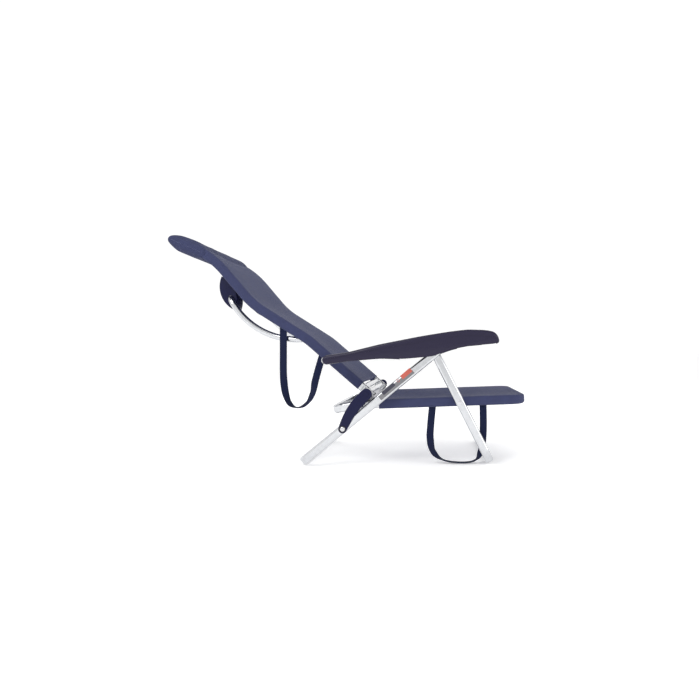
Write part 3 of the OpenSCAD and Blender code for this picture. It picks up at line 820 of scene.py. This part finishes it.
def rims(name, places, radius, tube, look, body):
    """A ring round each rivet head."""
    around, inside = 32, 10
    verts, faces = [], []
    for x, y, z in places:
        first = len(verts)
        for a in evenly(0, 2 * math.pi, around, endpoint=False):
            for b in evenly(0, 2 * math.pi, inside, endpoint=False):
                reach = radius + tube * math.cos(b)
                verts.append((x + reach * math.cos(a), y + tube * math.sin(b), z + reach * math.sin(a)))
        last = first + (around - 1) * inside
        faces += strip_faces(around, inside, closed=True, start=first)
        faces += [(last + i, last + (i + 1) % inside, first + (i + 1) % inside, first + i)
                  for i in range(inside)]
    make(name, verts, faces, look, body)


def middle_of(node):
    """A node's middle in the side view, and how far its left-hand face is from the chair's middle."""
    low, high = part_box(node)
    return (low.x + high.x) / 2, high.y, (low.z + high.z) / 2


def both_hands(x, y, z):
    """The same place on the right and on the left."""
    return [(x, -y, z), (x, y, z)]


# ---- Label ----
LABEL_MIDDLE = 0.0075  # from the label's edge to its middle line
LABEL_RING = 0.067  # from the label's top to the round mark
LABEL_INK = (-0.0002, 0.0001)  # a block's front and back, from the label's face
# (name, from and to along the label, half width, material)
LABEL_BLOCKS = [("label_red_block", 0.010, 0.052, 0.0075, LABEL_RED),
                ("label_dark_block", 0.084, 0.136, 0.0065, LABEL_DARK)]


def label_marks():
    """Plain coloured blocks and a round mark on the leg's label, with no lettering."""
    low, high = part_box("leg_label")
    top, foot = Vector((high.x, high.z)), Vector((low.x, low.z))
    way = (foot - top).normalized()
    square = Vector((-way.y, way.x))
    face = low.y
    for name, start, end, half, look in LABEL_BLOCKS:
        verts = []
        for y in (face + LABEL_INK[0], face + LABEL_INK[1]):
            for along, across in ((start, -half), (end, -half), (end, half), (start, half)):
                p = top + way * along + square * (across - LABEL_MIDDLE)
                verts.append((p.x, y, p.y))
        faces = strip_faces(2, 4, closed=True) + [(3, 2, 1, 0), (4, 5, 6, 7)]
        make(name, verts, faces, look, "rear_legs")
    spot = top + way * LABEL_RING - square * LABEL_MIDDLE
    rims("label_ring", [(spot.x, face, spot.y)], 0.005, 0.0006, LABEL_RED, "rear_legs")


# ---- The chair ----
seat_fabric()
seat_seams()
back_fabric()
head_roll()
strap("seat_web", SEAT_ROUTE, SEAT_WEB_Y, "seat", "seat_strap")
strap("back_web", BACK_ROUTE, BACK_Y, "back", "back_strap")
for hand, side in ((-1, "right"), (1, "left")):
    armrest(hand, side)
    link_plate(side)
    rounded_copy("rack_" + side, "armrest_" + side, BLACK_PLASTIC, RACK_EDGE)
    rounded_copy("hinge_bracket_" + side, "seat", PLATED, BRACKET_EDGE)
rounded_copy("prop_foot", "prop", NAVY_PLASTIC, FOOT_EDGE, segments=4)

# Hardware with its edges broken: (body, material, slot, node names)
HARDWARE = [
    ("seat", POLISHED, "rivet", ["leg_rivets", "bracket_rivets"]),
    ("seat", NAVY_PLASTIC, "rivet", ["hinge_pins"]),
    ("seat", BLACK_PLASTIC, "black_plastic", ["hinge_spacers", "leg_washers"]),
    ("front_legs", BLACK_PLASTIC, "black_plastic",
     ["front_leg_plugs", "leg_top_washers", "rack_rollers"]),
    ("front_legs", POLISHED, "rivet", ["leg_top_pins"]),
    ("rear_legs", BLACK_PLASTIC, "black_plastic", ["rear_leg_plugs"]),
    ("hinge_tube", BLACK_PLASTIC, "black_plastic", ["hinge_tube_plugs"]),
    ("back", BLACK_PLASTIC, "black_plastic", ["back_plugs", "arm_spacers", "prop_washers"]),
    ("back", POLISHED, "rivet", ["arm_pins", "prop_rivets"]),
    ("back", ALUMINIUM, "tube", ["back_collars"]),
    ("arm_bushes", POLISHED, "rivet", ["arm_bushes"]),
]
for body, look, slot, names in HARDWARE:
    for name in names:
        rounded_copy(name, body, look, BROKEN_EDGE)

# Rivet heads: each dome's radius and height, each rim's radius and thickness
CAP_SEAT = 0.0006  # how deep a cap sits in its pin's rounded edge
foot_x, _, foot_z = middle_of("link_rivets")
link_feet = both_hands(foot_x, abs(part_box("link_right")[0].y), foot_z)
heads = domes("link_rivet_domes", link_feet, 0.0085, 0.0032, POLISHED, "links")
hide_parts("link_rivets")
rims("link_rivet_rims", link_feet, 0.0098, 0.0012, BLACK_PLASTIC, "links")
pin_x, pin_y, pin_z = middle_of("hinge_pins")
pin_heads = both_hands(pin_x, pin_y - CAP_SEAT, pin_z)
domes("hinge_pins_domes", pin_heads, 0.0078, 0.0016, NAVY_PLASTIC, "seat")
label_marks()

# CAD shapes that stay as they are, with a better material
KEPT = [(name, ALUMINIUM) for name in ("seat_frame", "front_leg_frame", "rear_leg_frame", "back_frame",
                                       "back_lower_bar", "hinge_tube", "prop_tube")]
for name, look in [*KEPT, ("leg_label", LABEL_GREY)]:
    nodes[name].data.materials.clear()
    nodes[name].data.materials.append(look)


# ---- Stage, light and camera ----
def floor():
    """A pale floor that runs out of sight, lit a little from within so that it stays white far off."""
    mesh = bpy.data.meshes.new("floor")
    reach = 60.0
    mesh.from_pydata([(-reach, -reach, 0), (reach, -reach, 0), (reach, reach, 0), (-reach, reach, 0)], [],
                     [(0, 1, 2, 3)])
    mesh.materials.append(surface("floor_white", (0.93, 0.93, 0.93), 0.7, grain=3.0, spread=0.003,
                                  bump=0.0, Emission_Color=(1, 1, 1, 1), Emission_Strength=0.28))
    plane = bpy.data.objects.new("floor", mesh)
    bpy.context.scene.collection.objects.link(plane)


def soft_light(name, place, aim_at, size, watts):
    lamp = bpy.data.lights.new(name, "AREA")
    lamp.shape = "RECTANGLE"
    lamp.size, lamp.size_y = size
    lamp.energy = watts
    obj = bpy.data.objects.new(name, lamp)
    obj.location = place
    obj.rotation_euler = (Vector(aim_at) - Vector(place)).to_track_quat("-Z", "Y").to_euler()
    bpy.context.scene.collection.objects.link(obj)


def sky():
    """White round the horizon and overhead, with a grey band between for the metal to reflect."""
    world = bpy.data.worlds.new("studio")
    bpy.context.scene.world = world
    world.use_nodes = True
    tree = world.node_tree
    place = add_node(tree, "ShaderNodeTexCoord")
    axes = add_node(tree, "ShaderNodeSeparateXYZ")
    bands = add_node(tree, "ShaderNodeValToRGB")
    ramp = bands.color_ramp
    ramp.elements[0].position, ramp.elements[0].color = 0.0, (1, 1, 1, 1)
    ramp.elements[1].position, ramp.elements[1].color = 1.0, (0.9, 0.9, 0.9, 1)
    for position, level in ((0.62, 1.0), (0.68, 0.08), (0.80, 0.08), (0.86, 0.9)):
        ramp.elements.new(position).color = (level, level, level, 1)
    tree.links.new(place.outputs["Generated"], axes.inputs["Vector"])
    tree.links.new(axes.outputs["Z"], bands.inputs["Fac"])
    tree.links.new(bands.outputs["Color"], tree.nodes["Background"].inputs["Color"])
    tree.nodes["Background"].inputs["Strength"].default_value = 1.05


def camera():
    """A wide, level view of the chair's right-hand side, from just above the seat."""
    data = bpy.data.cameras.new("camera")
    data.lens = 26.47
    data.sensor_width = 36.0
    data.shift_x = -0.1214
    obj = bpy.data.objects.new("camera", data)
    obj.location = (0.3077, -2.0085, 0.398)
    obj.rotation_euler = (math.radians(90), 0, 0)
    bpy.context.scene.collection.objects.link(obj)
    bpy.context.scene.camera = obj


floor()
soft_light("key", (-1.4, -2.2, 2.6), (0, 0, 0.4), (1.6, 1.6), 45)
soft_light("fill", (2.4, -1.6, 1.2), (0.1, 0, 0.4), (1.4, 1.8), 18)
soft_light("back_light", (0.4, 2.4, 2.2), (0, 0, 0.4), (2.0, 1.0), 22)
sky()
camera()
bpy.context.scene.view_settings.view_transform = "Standard"
